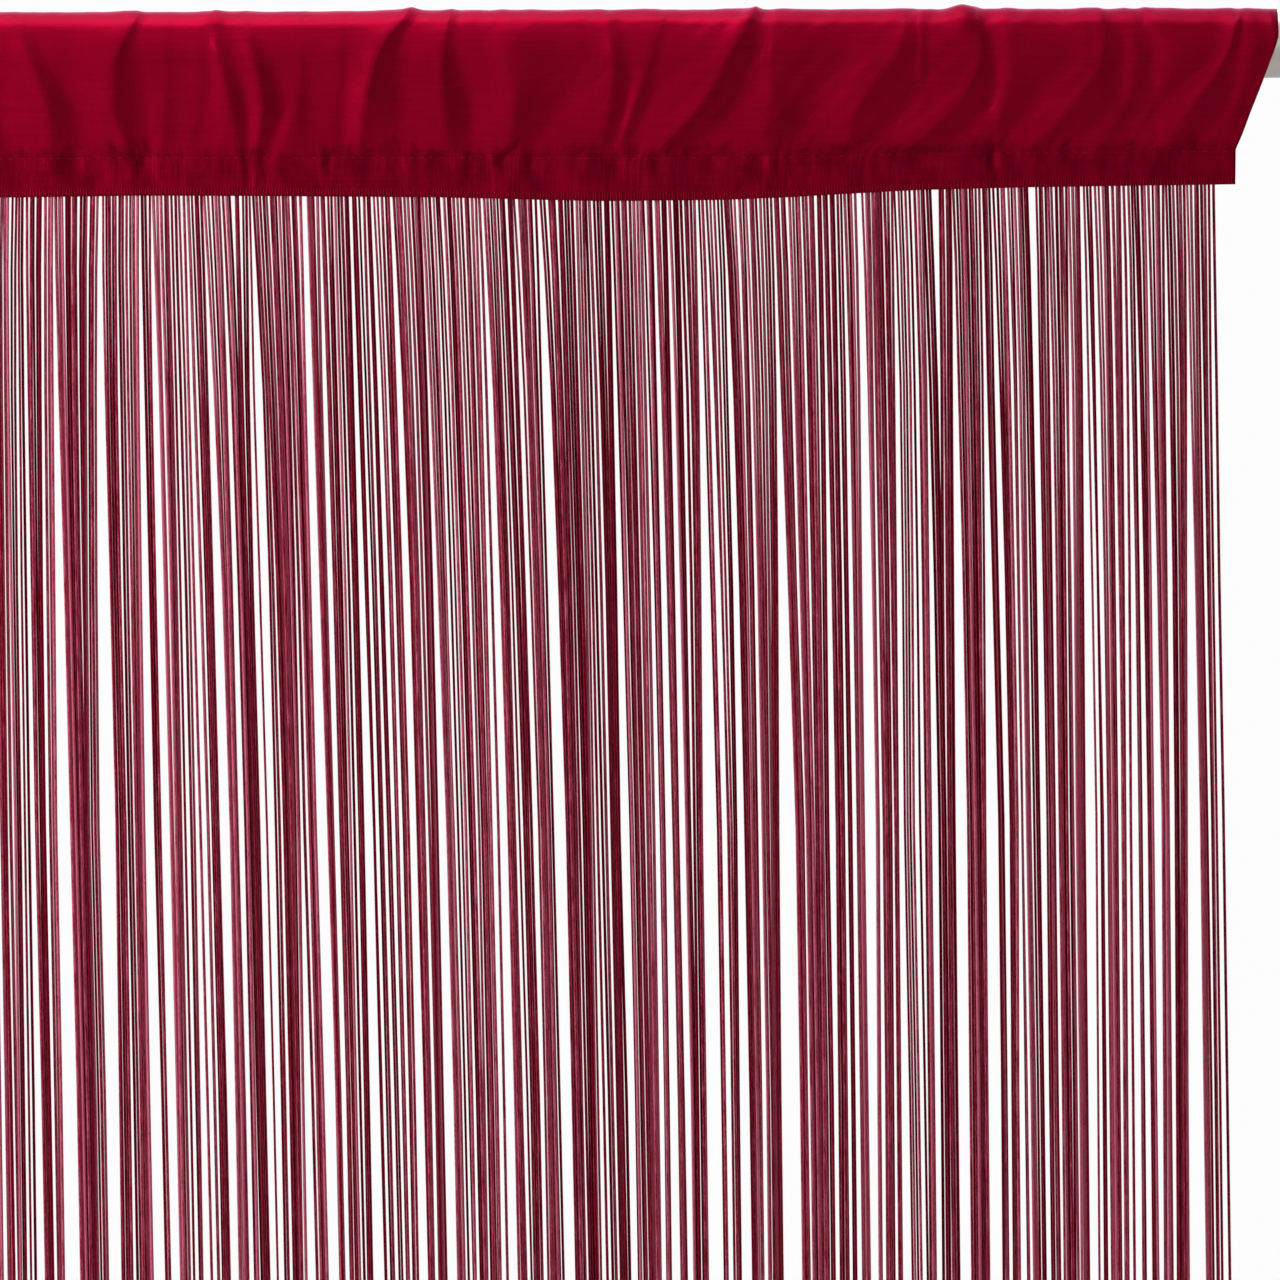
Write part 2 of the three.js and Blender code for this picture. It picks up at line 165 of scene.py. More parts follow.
# Ripples at the seam: depth and width each have an unevenness, and they reach above and below the stitches
RIPPLES = SimpleNamespace(
    stray=0.33, lean=0.25, deep=(0.55, 0.45), wide=(0.3, 0.08), above=8 * MM, below=9 * MM,
)
PINCH_REACH = 1.1 * MM

# The cloth's swelling between folds: width and length of a swell, its strength, and the kind of its numbers
SWELLS = [(9 * MM, 34 * MM, 1.0, 31), (4.2 * MM, 16 * MM, 0.5, 35)]
SWELL_IN_BAND = 0.35
# The back's folds drift sideways, less near the ends, and are shallower by an uneven share
BACK_DRIFT, BACK_DRIFT_WAVE, BACK_DRIFT_FADE = 6 * MM, 37 * MM, 60 * MM
BACK_SHALLOWER, BACK_SHALLOWER_WAVE = 0.2, 53 * MM

# Rows of the heading's grid: in the band, in the fall from seam to rod, and on the wrap as angles from its
# top. They crowd at the pressed crease, which one of them follows.
BAND_ROWS = 12
FALL_ROWS = 20
WRAP_ANGLES = np.radians([108, 93, 79, 67, 59, 52, 46, 38, 26, 13, 0])
WRAP_ROWS = len(WRAP_ANGLES) - 1
CREASE_ROW = 5
CREASE_ROW_REACH = np.radians(50)
# How the rows of the fall crowd towards the seam, and how soon the layers come apart above it, as powers
FALL_POWER = 1.25
FREE_POWER = 3.5
# The pressed crease: place, its angle from the top, and how far round from it the cloth is straightened
PRESSED = np.array([
    [-60, 54, 9], [0, 57, 11], [60, 57, 12], [130, 48, 11], [208, 53, 15], [262, 57, 14], [340, 57, 11],
    [408, 58, 11],
]) * [MM, 1, 1]
# The band's sway: its share at the hem of that at the seam, its size beside a fold's depth, and its softness
BAND_SWAY_SHARE = 0.6
BAND_SWAY = 0.4
BAND_SWAY_SOFTNESS = 3 * MM
# The turn round the rod over which the front gives way to the back
BACK_TURN = np.radians(80)
# The rows over which the band's darker colour, its duller look and painted shade, fades out above the seam
BAND_EDGE_ROWS = 6
BAND_FADE_ROWS = 8

# Stray of the stitches as shares of their pitch, unevenness of a hem stitch's height, its lean in columns of
# the grid, and the faces round the thread
STITCH_STRAY = 0.12
HEM_STITCH_STRAY = 0.2
HEM_STITCH_UNEVENNESS = 0.15
HEM_STITCH_LEAN = 0.12
THREAD_SIDES = 5

# How far the strings lean to the right, with place and degrees, and the depth over which the lean dies away
STRING_LEAN = np.array([
    [-430, 0.5], [-250, 0.8], [-76, 1.1], [33, 1.7], [155, 1.5], [253, 0.6], [336, 0.6], [418, 0.3],
    [424, 0.7],
]) * [MM, 1]
LEAN_REACH = 900 * MM

# The wider gaps between strings: place at the hem, and the extra width at these depths below it
GAP_DEPTHS = np.array([0, 105, 250, 440]) * MM
STRING_GAPS = np.array([
    [-69, 0, 0, 0.6, 2.5], [-55, 0, 2.1, 4.9, 5.8], [-42, 0, 2.1, 4.9, 3.7], [-32, 0, 1.2, 0.8, 2.1],
    [-23, 0, 0, 0.8, 2.9], [-3, 0, 0, 1.2, 2.9], [7, 0, 1.6, 1.6, 0.8], [21, 1.2, 0, 0, 0],
    [29, 0, 3.7, 2.9, 2.9], [39, 0, 0, 0, 2.9], [48, 2.1, 2.1, 3.3, 4.5], [68, 0, 0, 1.6, 3.3],
    [85, 0, 0, 0, 1.2], [98, 0, 0, 0.8, 2.9], [125, 0, 2.1, 2.9, 4.9], [138, 0, 1.6, 1.6, 2.1],
    [145, 1.2, 3.7, 3.7, 3.7], [163, 0, 0, 0.6, 2.1], [173, 0, 0, 2.1, 1.6], [192, 0, 0, 0.4, 2.1],
    [201, 0, 0, 0.4, 2.1], [210, 0, 0, 2.9, 4.9], [224, 0, 1.6, 1.8, 4.1], [245, 0, 0.8, 5.8, 7],
    [263, 0, 0, 1.6, 0.6], [277, 2.1, 1.2, 2.1, 0.8], [293, 0, 0, 0, 2.1], [298, 1.6, 0.8, 2.1, 0.4],
    [305, 0, 0.4, 2.9, 2.1], [312, 2.9, 0.6, 0, 0], [316, 0, 1.2, 4.9, 4.5], [328, 0, 0, 2.9, 3.7],
    [335, 0, 1.2, 1.2, 0.4], [341, 0, 0, 0, 2.1], [351, 1.6, 1.2, 1.2, 1.6], [370, 0, 0, 2.1, 1.2],
    [390, 0, 0, 1.6, 2.1], [399, 0, 0, 1.2, 0.4], [415, 0, 0.4, 2.9, 5.8],
]) * MM
# To the left of that table the gaps stand at an uneven pitch, with shares of their width at those depths
PLAIN_GAPS = SimpleNamespace(
    count=24, first=-82 * MM, pitch=14 * MM, stray=4 * MM, widest=4.5 * MM,
    wide=(0.6, 0.4), shares=[0, 0.3, 0.7, 1],
)
GAP_REACH = 14 * MM

# The strings' bends: depth below the hem, stray, how far a rank stands off, and closeness in a bunch
STRING_BENDS = np.array([
    [-4, 0, 0, 0.95], [0, 0, 0.5, 0.95], [30, 0.25, 1.1, 0.92], [80, 0.5, 1.4, 0.82], [160, 0.7, 1.6, 0.75],
    [260, 0.9, 1.8, 0.72], [370, 1.1, 1.8, 0.74], [500, 1.2, 1.9, 0.78], [700, 1.4, 2, 0.83],
    [1000, 1.6, 2, 0.9], [1400, 1.8, 2, 0.96], [1927, 2, 2, 1],
]) * [MM, MM, MM, 1]
# A bunch is one string, or one more for each of these that its uneven number passes
BUNCH_STEPS = [-0.55, -0.05, 0.4, 0.76]
# Gaps between bunches: they swell over some bunches, and the outermost ones keep a share
BUNCH_GAPS = SimpleNamespace(least=0.04, power=4, swell=0.6, over=3, outermost=5, kept=0.2)
CLOSENESS_UNEVENNESS = 0.8
# How far the strings have left their even roots for their bunches: depth below the hem, share
GATHERED = np.array([[0, 0.2], [30, 0.45], [105, 0.8], [250, 1]]) * [MM, 1]
ROOT_STRAY = 0.35
# How much of its stray a string shares with its bunch, and every which string shares none
BUNCH_STRAY_SHARE = 0.8
LONER = 7
# The share of a rank's distance that is taken, the stray in depth beside the sideways one, and the depth over
# which a string leaves the band's middle
RANK_SHARE = 0.7
DEPTH_STRAY = 0.2
FREED_DEPTH = 150 * MM
# From the heading's ends to the outermost strings, and how unevenly long the strings are
STRING_INSET = 8.7 * MM
END_STRAY = 5 * MM
# Unevenness of the strings' radius, the cut end's share of it, and the mean and unevenness of their shade
RADIUS_UNEVENNESS = 0.18
CUT_END = 0.75
STRING_SHADE = (-0.15, 0.44)


def uneven(index, kind):
    """A steady number from -1 to 1 for each pair of whole numbers: the fraction of a large sine."""
    wave = np.sin(index * 12.9898 + kind * 78.233) * 43758.5453
    return 2 * (wave - np.floor(wave)) - 1


def varied(mean, by, index, kind):
    """A mean and an uneven number beside it for each index."""
    return mean + by * uneven(index, kind)


def eased(share):
    """From 0 to 1 with a level start and end, outside 0 to 1 held there."""
    share = np.clip(share, 0, 1)
    return share * share * (3 - 2 * share)


def rolling(across, along, kind):
    """Soft unevenness over a plane: an uneven number on each whole step both ways, joined by eased curves."""
    left, low = np.floor(across), np.floor(along)
    share, rise = eased(across - left), eased(along - low)

    def corner(right, up):
        return uneven((left + right) + 57 * (low + up), kind)

    lower = corner(0, 0) * (1 - share) + corner(1, 0) * share
    upper = corner(0, 1) * (1 - share) + corner(1, 1) * share
    return lower * (1 - rise) + upper * rise


def between_levels(levels, values, heights):
    """Each row of values, given at rising levels, read at that row's heights on straight lines between."""
    above = np.clip(np.searchsorted(levels, heights), 1, len(levels) - 1)
    below = above - 1
    share = np.clip((heights - levels[below]) / (levels[above] - levels[below]), 0, 1)
    row = np.arange(len(values))[:, None]
    return values[row, below] * (1 - share) + values[row, above] * share


def softened(values, spacing, width):
    """Values down the first axis, averaged with their neighbours under a bell curve of that width."""
    reach = int(np.ceil(3 * width / spacing))
    steps = np.arange(-reach, reach + 1)
    bell = np.exp(-0.5 * (steps * spacing / width) ** 2)
    bell /= bell.sum()
    padded = np.concatenate([values[:1].repeat(reach, 0), values, values[-1:].repeat(reach, 0)])
    return sum(weight * padded[i:i + len(values)] for i, weight in enumerate(bell))


def lengths_along(points):
    """Distance along each row of points, from its first point."""
    steps = np.linalg.norm(np.diff(points, axis=-2), axis=-1)
    return np.insert(np.cumsum(steps, axis=-1), 0, 0, axis=-1)


def quads_between(numbers):
    """Quads of a grid of point numbers: each point, the next in its row, and the two in the row beyond."""
    near, far = numbers[..., :-1, :], numbers[..., 1:, :]
    quads = np.stack([near[..., :-1], near[..., 1:], far[..., 1:], far[..., :-1]], axis=-1)
    return quads.reshape(-1, 4)


def sampled(grid, row, column):
    """A grid of points or directions read at any row and column, on straight lines between its points."""
    row = np.clip(row, 0, grid.shape[0] - 1.001)
    column = np.clip(column, 0, grid.shape[1] - 1.001)
    low, left = row.astype(int), column.astype(int)
    rise, share = (row - low)[..., None], (column - left)[..., None]
    lower = grid[low, left] * (1 - share) + grid[low, left + 1] * share
    upper = grid[low + 1, left] * (1 - share) + grid[low + 1, left + 1] * share
    return lower * (1 - rise) + upper * rise


def outward_directions(grid):
    """Outward direction at each point of a grid: square to the steps to the right and to the next row."""
    up, right = np.gradient(grid, axis=(0, 1))
    normals = np.cross(right, up)
    return normals / np.linalg.norm(normals, axis=-1, keepdims=True)


def new_piece(name, material, points, faces, corner_map=None):
    """An object at the origin with these points. corner_map gives each corner of each face its place on the
    cloth or the thread, in metres."""
    mesh = bpy.data.meshes.new(name)
    mesh.from_pydata(points, [], faces)
    if corner_map is not None:
        layer = mesh.uv_layers.new(name="PieceMap")
        layer.uv.foreach_set("vector", corner_map.astype(np.float32).ravel())
    mesh.shade_smooth()
    mesh.materials.append(material)
    piece = bpy.data.objects.new(name, mesh)
    bpy.context.scene.collection.objects.link(piece)
    return piece


def give_points(piece, name, values):
    """A number for each point of a piece, which its material reads by name."""
    attribute = piece.data.attributes.new(name, "FLOAT", "POINT")
    attribute.data.foreach_set("value", values.astype(np.float32))


def threads(paths, radii, sides, facing):
    """Round threads along paths: a ring of points stands square to the path at each of its points. facing is
    the direction that a ring starts near. The corner map goes round the thread from 0 to 1, and along it in
    metres."""
    count, rings = paths.shape[:2]
    ahead = np.gradient(paths, axis=1)
    ahead /= np.linalg.norm(ahead, axis=-1, keepdims=True)
    aside = np.cross(np.broadcast_to(facing, paths.shape), ahead)
    aside /= np.linalg.norm(aside, axis=-1, keepdims=True)
    over = np.cross(ahead, aside)
    turn = 2 * np.pi * np.arange(sides) / sides
    ring = aside[:, :, None] * np.cos(turn)[:, None] + over[:, :, None] * np.sin(turn)[:, None]
    points = paths[:, :, None] + ring * np.broadcast_to(radii, (count, rings))[:, :, None, None]

    numbers = np.arange(count * rings * sides).reshape(count, rings, sides)
    quads = quads_between(np.pad(numbers, ((0, 0), (0, 0), (0, 1)), mode="wrap"))
    caps = np.concatenate([numbers[:, 0, ::-1], numbers[:, -1]])
    side = np.arange(sides)
    along = lengths_along(paths)[..., None, None]
    quad_map = np.zeros((count, rings - 1, sides, 4, 2))
    quad_map[..., 0] = np.stack([side, side + 1, side + 1, side], axis=-1) / sides
    quad_map[..., :2, 1] = along[:, :-1]
    quad_map[..., 2:, 1] = along[:, 1:]
    corner_map = np.concatenate([quad_map.reshape(-1, 2), np.zeros((caps.size, 2))])
    return points.reshape(-1, 3), quads.tolist() + caps.tolist(), corner_map


def plain_folds():
    """The left third's folds: an even pitch, swayed and widened by sines of the fold's number."""
    folds = PLAIN_FOLDS
    number = np.arange(folds.count)[::-1]
    crest = (folds.first - folds.pitch * number)[:, None]
    swell = 1 + folds.swell * np.sin(folds.swell_rate * number)
    sways = np.sin(np.outer(number, folds.sway_rates) + folds.sway_starts)
    wide = np.tile(folds.wide_shares, (len(number), 1))
    wide[:, 2] = swell
    deep = folds.deep * swell[:, None] * folds.deep_shares
    return np.hstack([crest + folds.sway * sways, folds.wide * wide, deep])


def heading_columns(count, softness):
    """The heading's upright columns: place along the curtain and lift off the sleeve at every fine height,
    sway of the band, and heights of seam and hem. Each fold gives two lines, its crest and the foot of its
    step. Columns are evenly spaced half-way down, and keep their share of the way between two lines. From a
    foot to the next crest the cloth rises as a power of that share. Lifts are softened across the columns,
    and the band sways to the front at a crest and to the back at a foot."""
    place, wide, deep = np.split(np.vstack([plain_folds(), FOLDS]), 3, axis=1)
    line_place = np.stack([place, place + wide], axis=1).reshape(-1, 4)[:, ::-1]
    line_lift = np.stack([deep, 0 * deep], axis=1).reshape(-1, 4)[:, ::-1]
    line_sway = 0.5 * np.stack([deep[:, 3], -deep[:, 3]], axis=1).ravel()

    levels = FINE_LEVELS
    heights = np.broadcast_to(levels, (len(line_place), len(levels)))
    inset = np.interp(levels, *DRAWN_IN.T)
    ends = [-(HALF_WIDTH - LEFT_END_SHARE * inset), HALF_WIDTH - inset]
    step = levels[1] - levels[0]
    line_place, line_lift = (
        softened(between_levels(FOLD_LEVELS[::-1], values, heights).T, step, LEVEL_SOFTNESS).T
        for values in (line_place, line_lift)
    )
    line_place = np.vstack([ends[0], line_place, ends[1]])
    line_lift = np.pad(line_lift, ((1, 1), (0, 0)))
    line_sway = np.pad(line_sway, 1)

    half_way = line_place[:, np.searchsorted(levels, FOLD_LEVELS[2])]
    even = np.linspace(half_way[0], half_way[-1], count)
    line = np.interp(even, half_way, np.arange(len(half_way)))
    left = np.minimum(line.astype(int), len(half_way) - 2)
    share = (line - left)[:, None]
    spacing = even[1] - even[0]
    powers = between_levels(FOLD_LEVELS[::-1], RISE_POWERS[None, ::-1], levels[None])
    risen = np.where((left % 2 == 0)[:, None], share ** powers, 1 - (1 - share) ** STEP_POWER)

    def across(values, way):
        return values[left] * (1 - way) + values[left + 1] * way

    place = across(line_place, share)
    sag = np.interp(place[:, 0], *HEM_SAG.T)
    return SimpleNamespace(
        place=place,
        lift=softened(across(line_lift, risen), spacing, softness),
        sway=BAND_SWAY * softened(across(line_sway, share[:, 0]), spacing, BAND_SWAY_SOFTNESS),
        seam=SEAM_HEIGHT - SEAM_SAG_SHARE * sag,
        hem=HEM_HEIGHT - sag,
    )


def heading_section(columns, settings):
    """The section at each column, up the front and down the back: the band from hem to seam, a straight fall
    from the seam to where the cloth leaves the rod, and the wrap, a circle round the rod with a pressed
    crease, where two straight lines that touch the circle meet. free says how free of each other the layers
    are, and back how far round to the back a point is."""
    count = len(columns.seam)
    radius = ROD_RADIUS + settings.rod_clearance + settings.thickness
    seam, hem = columns.seam[:, None], columns.hem[:, None]
    seam_out, hem_out = settings.seam_half_thickness, settings.hem_half_thickness

    band = np.linspace(0, 1, BAND_ROWS + 1)[:-1]
    fall = np.linspace(0, 1, FALL_ROWS + 1)[:-1] ** FALL_POWER
    leave_out, leave_up = radius * np.sin(WRAP_ANGLES[0]), radius * np.cos(WRAP_ANGLES[0])
    slope = np.hstack([leave_out - seam_out + 0 * seam, leave_up - seam])
    slope /= np.linalg.norm(slope, axis=1, keepdims=True)
    crease, reach = (
        np.radians(np.interp(columns.place[:, -1:], PRESSED[:, 0], degrees)) for degrees in PRESSED[:, 1:].T
    )
    from_crease = WRAP_ANGLES - WRAP_ANGLES[CREASE_ROW]
    moved = (crease - WRAP_ANGLES[CREASE_ROW]) * eased(1 - abs(from_crease) / CREASE_ROW_REACH)
    wrap = WRAP_ANGLES + moved
    wrap_radius = radius / np.cos(np.maximum(0, reach - abs(wrap - crease)))

    def rows(band_part, fall_part, wrap_part):
        parts = ((band_part, BAND_ROWS), (fall_part, FALL_ROWS), (wrap_part, WRAP_ROWS + 1))
        return np.hstack([np.broadcast_to(part, (count, size)) for part, size in parts])

    def both_sides(front, mirrored=1):
        return np.hstack([front, mirrored * front[:, -2::-1]])

    out = rows(
        -(hem_out + (seam_out - hem_out) * band),
        -(seam_out + (leave_out - seam_out) * fall),
        -wrap_radius * np.sin(wrap),
    )
    up = rows(hem + (seam - hem) * band, seam + (leave_up - seam) * fall, wrap_radius * np.cos(wrap))
    free = rows(0, 1 - (1 - fall) ** FREE_POWER, 1)
    sway_share = rows(BAND_SWAY_SHARE + (1 - BAND_SWAY_SHARE) * band, (1 - fall) ** 2, 0)
    turned = rows(-WRAP_ANGLES[0], -WRAP_ANGLES[0], -wrap)
    return SimpleNamespace(
        out=both_sides(out, -1),
        up=both_sides(up),
        facing_out=both_sides(rows(-1, -slope[:, 1:], -np.sin(wrap)), -1),
        facing_up=both_sides(rows(0, -slope[:, :1], np.cos(wrap))),
        free=both_sides(free),
        sway_share=both_sides(sway_share),
        back=eased(0.5 + both_sides(turned, -1) / BACK_TURN),
    )


def seam_ripples(place, above_stitches, settings):
    """Upright ripples that the stitching gathers: bell curves at an uneven pitch, leaning a little, which
    fade above and below the stitches. The hollows are bell curves both ways, pressed in under the seam."""
    k = np.arange(int(2 * HALF_WIDTH / settings.ripple_pitch))
    centre = -HALF_WIDTH + settings.ripple_pitch * varied(k + 0.5, RIPPLES.stray, k, 11)
    height = settings.ripple_depth * varied(*RIPPLES.deep, k, 12)
    width = settings.ripple_pitch * varied(*RIPPLES.wide, k, 13)
    lean = RIPPLES.lean * uneven(k, 14)
    offset = (place[..., None] - centre - lean * above_stitches[..., None]) / width
    reach = np.where(above_stitches > 0, RIPPLES.above, RIPPLES.below)
    ripples = (height * np.exp(-offset ** 2)).sum(-1) * np.exp(-(above_stitches / reach) ** 2)
    hollow_offset = (place[..., None] - HOLLOWS[:, 0]) / HOLLOWS[:, 1]
    under_seam = np.exp(-((above_stitches + HOLLOWS_UNDER) / HOLLOWS_HALF_HEIGHT) ** 2)
    hollows = (HOLLOWS[:, 2] * np.exp(-hollow_offset ** 2)).sum(-1) * under_seam
    return ripples - hollows


def creased(place, height):
    """The single creases: a bell curve across the line from upper to lower end, eased in and out at both."""
    top_place, top, low_place, low, rise, width = CREASES.T
    down = (top - height[..., None]) / (top - low)
    centre = top_place + (low_place - top_place) * np.clip(down, 0, 1)
    ease = CREASE_EASE / (top - low)
    ends = eased(down / ease + 0.5) * eased((1 - down) / ease + 0.5)
    return (rise * np.exp(-((place[..., None] - centre) / width) ** 2) * ends).sum(-1)


def slanting(place, height):
    """Slanting wrinkles: soft unevenness in a plane whose axes lie across and along the slant."""
    wrinkles = SLANT_WRINKLES
    across = (place - wrinkles.slant * height) / wrinkles.wide
    along = (height + wrinkles.slant * place) / wrinkles.long
    share = eased((place - wrinkles.start) / (wrinkles.full - wrinkles.start))
    return wrinkles.deep * share * rolling(across, along, 38)


def heading_surface(settings):
    """The cloth's outer face as a grid, rows up the front and down the back, columns to the right. A point is
    its section's point, moved outwards by the fold's lift, the creases, the slack and the cloth's unevenness,
    and to the front by the band's sway and the ripples of the stitching."""
    columns = heading_columns(settings.columns, settings.fold_softness)
    section = heading_section(columns, settings)
    place = between_levels(FINE_LEVELS, columns.place, section.up)
    to_ends = np.minimum(1, (HALF_WIDTH - abs(place)) / BACK_DRIFT_FADE) ** 2
    drift = BACK_DRIFT * np.sin(place / BACK_DRIFT_WAVE) * to_ends
    back_share = 1 + section.back * (BACK_SHALLOWER * np.sin(place / BACK_SHALLOWER_WAVE) - BACK_SHALLOWER)
    place = place + drift * section.back * section.free

    lift = between_levels(FINE_LEVELS, columns.lift, section.up) * section.free * back_share
    swelling = sum(
        strength * rolling(place / across, section.up / along, kind + section.back.round())
        for across, along, strength, kind in SWELLS
    )
    unevenness = settings.unevenness * (SWELL_IN_BAND + (1 - SWELL_IN_BAND) * section.free) * swelling
    creases = creased(place, section.up) + section.free * slanting(place, section.up)
    off = lift + (1 - section.back) * creases + unevenness
    off += section.free * np.interp(place, *SLACK.T)
    above_stitches = section.up - columns.seam[:, None] + settings.stitches_below_seam
    ripples = seam_ripples(place, above_stitches, settings) * (1 - section.free)
    pinch = settings.stitch_pinch * np.exp(-(above_stitches / PINCH_REACH) ** 2)
    out = section.out + (off - pinch) * section.facing_out
    out = out - columns.sway[:, None] * section.sway_share - ripples
    up = section.up + off * section.facing_up
    return np.stack([place, out, up], axis=-1).transpose(1, 0, 2)


def seam_stitch_paths(grid, normals, settings, back):
    """Short stitches along the band, a little uneven. Each is half a wave of a sine and dives into the cloth
    at both ends."""
    below_seam = bpy.context.scene.curtain_heading.stitches_below_seam
    row = BAND_ROWS * (1 - below_seam / (SEAM_HEIGHT - HEM_HEIGHT))
    row = grid.shape[0] - 1 - row if back else row
    column = np.arange(grid.shape[1], dtype=float)
    length = lengths_along(sampled(grid, np.full_like(column, row), column))
    pitch = settings.stitch_pitch
    starts = np.arange(pitch, length[-1] - pitch, pitch)
    starts += STITCH_STRAY * pitch * uneven(np.arange(len(starts)), 41 + back)
    steps = np.linspace(0, 1, 5)
    at = np.interp(starts[:, None] + settings.stitch_length * steps, length, column)
    rows = np.full_like(at, row)
    wave, sunk = 1.1, 0.45
    rise = settings.thread_radius * (wave * np.sin(np.pi * steps) - sunk)
    return sampled(grid, rows, at) + sampled(normals, rows, at) * rise[:, None]


def hem_stitch_paths(grid, normals, settings, back):
    """Stitches over the lower edge, uneven in place, height and lean. Each comes down the band's face in four
    steps, rising out of the cloth, and turns in under the edge."""
    hem = grid[-1] if back else grid[0]
    pitch = settings.hem_stitch_pitch
    x = np.arange(hem[0, 0] + pitch, hem[-1, 0] - pitch, pitch)
    index = np.arange(len(x))
    x = x + HEM_STITCH_STRAY * pitch * uneven(index, 45 + back)
    column = np.interp(x, hem[:, 0], np.arange(len(hem)))[:, None]
    steps = np.array([1, 0.66, 0.33, 0.04])
    rises = settings.thread_radius * np.array([-0.6, 0.4, 0.5, 0.5])
    height = settings.hem_stitch_height * varied(1, HEM_STITCH_UNEVENNESS, index, 47 + back)[:, None]
    row = BAND_ROWS * height * steps / (SEAM_HEIGHT - HEM_HEIGHT)
    row = grid.shape[0] - 1 - row if back else row
    columns = column + HEM_STITCH_LEAN * (1 - steps) * uneven(index, 49)[:, None]
    outwards = sampled(normals, row, columns)
    face = sampled(grid, row, columns) + outwards * rises[:, None]
    under = face[:, -1:] - outwards[:, -1:] * settings.turn_in + [0, 0, -settings.thread_radius]
    return np.concatenate([face, under], axis=1)


def bunches(left, right, settings):
    """Each string's bunch, the bunch's middle, and the string's place from there, counted in strings. The gap
    beside a bunch is a small share plus the fourth power of an uneven number, swells softly over several
    bunches, and is cut down at both ends. All gaps are then scaled to fill the width."""
    string = np.arange(settings.count)
    sizes = 1 + np.digitize(uneven(string, 21), BUNCH_STEPS)
    bunch = np.repeat(string, sizes)[:settings.count]
    size = np.bincount(bunch)
    start = np.cumsum(size) - size
    number = np.arange(len(size))
    gap = BUNCH_GAPS.least + varied(0.5, 0.5, number, 23) ** BUNCH_GAPS.power
    gap *= np.exp(BUNCH_GAPS.swell * rolling(number / BUNCH_GAPS.over, 0, 25))
    gap[np.minimum(number, number[::-1]) < BUNCH_GAPS.outermost] *= BUNCH_GAPS.kept
    gap *= (right - left - settings.count * settings.diameter) / gap[:-1].sum()
    middle = left + np.cumsum(size * settings.diameter + gap) - gap - 0.5 * size * settings.diameter
    return bunch, middle[bunch], string - start[bunch] - 0.5 * (size[bunch] - 1)


def gap_pushes(middles, depths):
    """How far each bunch is pushed aside at each depth: half of a near gap's extra width there, less and less
    out to the gap's reach."""
    i = np.arange(PLAIN_GAPS.count)
    widest = PLAIN_GAPS.widest * varied(*PLAIN_GAPS.wide, i, 7)
    place = PLAIN_GAPS.first - PLAIN_GAPS.pitch * i + PLAIN_GAPS.stray * uneven(i, 8)
    plain = np.column_stack([place, widest[:, None] * PLAIN_GAPS.shares])
    gaps = np.vstack([STRING_GAPS, plain])
    widths = between_levels(GAP_DEPTHS, gaps[:, 1:], np.broadcast_to(depths, (len(gaps), len(depths))))
    away = middles[:, None] - gaps[:, 0]
    return (0.5 * np.sign(away) * np.maximum(0, 1 - abs(away) / GAP_REACH)) @ widths


def string_paths(grid, settings):
    """Centre lines of the strings. Sideways, a string goes from its even root to its place in its bunch, plus
    the lean, a push from each wide gap near it, and its stray, which grows on the way down. In depth it goes
    from the band's middle to one of three ranks, one behind another."""
    hem_place = grid[0, :, 0]
    _, hem_middle, hem_height = (0.5 * (grid[0] + grid[-1])).T
    index = np.arange(settings.count)
    depths, stray, rank, closeness = STRING_BENDS.T
    left, right = hem_place[0] + STRING_INSET, hem_place[-1] - STRING_INSET
    roots = left + (right - left) * varied(index + 0.5, ROOT_STRAY, index, 22) / settings.count
    bunch, middles, turn = bunches(left, right, settings)
    drawn = closeness ** varied(1, CLOSENESS_UNEVENNESS, bunch, 24)[:, None]
    in_bunch = middles[:, None] + turn[:, None] * settings.diameter * drawn
    gathered = np.interp(depths, *GATHERED.T)
    in_bunch = roots[:, None] * (1 - gathered) + in_bunch * gathered
    shared = np.where(index % LONER == 0, 0, BUNCH_STRAY_SHARE)[:, None]
    fallen = LEAN_REACH * (1 - np.exp(-depths / LEAN_REACH))
    lean = np.tan(np.radians(np.interp(roots, *STRING_LEAN.T)))[:, None] * fallen
    bend = np.arange(len(depths))

    def wander(number):
        walk = np.cumsum(uneven(number[:, None], 60 + bend), axis=1) / np.sqrt(1 + bend)
        return np.clip(walk, -1, 1)

    wandered = stray * (shared * wander(bunch + 1000) + (1 - shared) * wander(index))
    x = in_bunch + lean + gap_pushes(middles, depths) + wandered
    own_rank = (index % 3 - 1)[:, None]
    freed = 1 - np.exp(-np.maximum(depths, 0) / FREED_DEPTH)
    middle = np.interp(roots, hem_place, hem_middle)[:, None]
    stood_off = rank * own_rank * RANK_SHARE
    y = middle * (1 - freed) + stood_off + DEPTH_STRAY * stray * uneven(index[:, None], 80 + bend)
    z = np.interp(roots, hem_place, hem_height)[:, None] - depths
    z[:, -1] = STRINGS_END + END_STRAY * (1 + uneven(index, 3))
    return np.stack([x, y, z], axis=-1)


